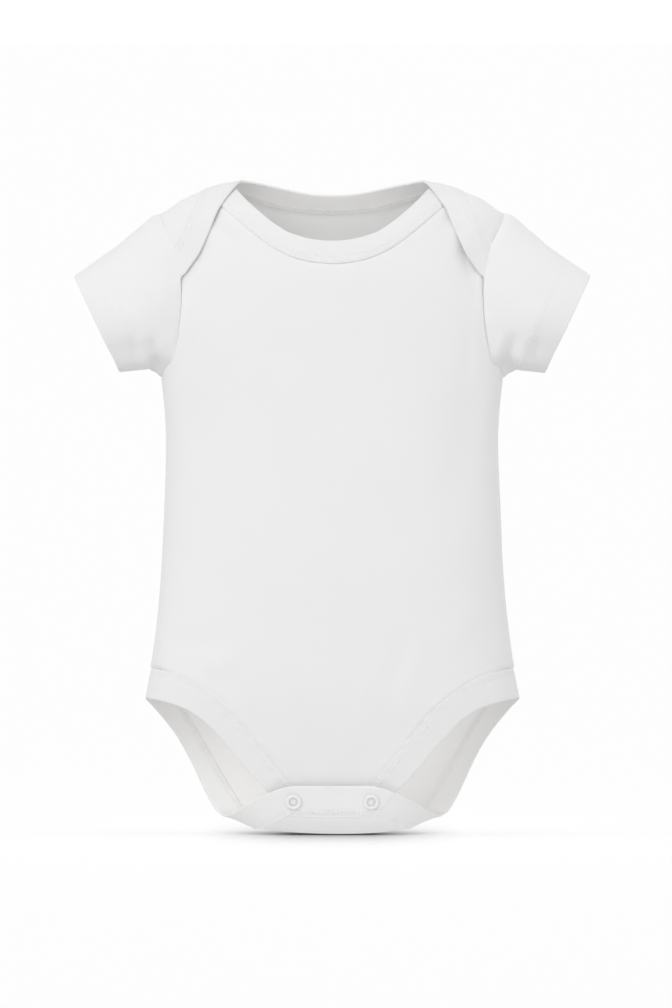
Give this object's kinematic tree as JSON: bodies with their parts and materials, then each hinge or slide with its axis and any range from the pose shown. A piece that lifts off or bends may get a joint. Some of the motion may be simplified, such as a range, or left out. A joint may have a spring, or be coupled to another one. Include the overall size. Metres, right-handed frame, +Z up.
{
  "type": "baby bodysuit",
  "caption": "Short-sleeved baby bodysuit in plain white jersey with lap shoulders, bound neck and legs, and a snapped crotch flap, filled out as worn.",
  "frame": {"origin": "on the centre line in the middle of the neck hole, level with the high points of the shoulders, where the wearer's shoulders hold the garment up", "axes": "+Z up along the body; the front faces -Y; +X is the viewer's right when looking at the front"},
  "size_m": [0.321, 0.0941, 0.4055],
  "materials": {
    "jersey": "soft matt fine-knit cotton jersey, plain white",
    "binding": "matt self-fabric binding folded over the edges, cover-stitched, white",
    "snap_enamel": "white enamelled ring snaps, semi-gloss"
  },
  "bodies": {
    "root": {"front": "jersey", "back": "jersey", "sleeve_right": "jersey", "sleeve_left": "jersey", "neck_binding_front": "binding", "neck_binding_back": "binding", "leg_binding_right": "binding", "leg_binding_left": "binding", "flap_band": "binding", "front_end_band": "binding", "snap_cap_right": "snap_enamel", "snap_cap_left": "snap_enamel", "snap_socket_right": "snap_enamel", "snap_socket_left": "snap_enamel", "snap_stud_right": "snap_enamel", "snap_stud_left": "snap_enamel", "snap_ring_right": "snap_enamel", "snap_ring_left": "snap_enamel"}
  },
  "joints": []
}
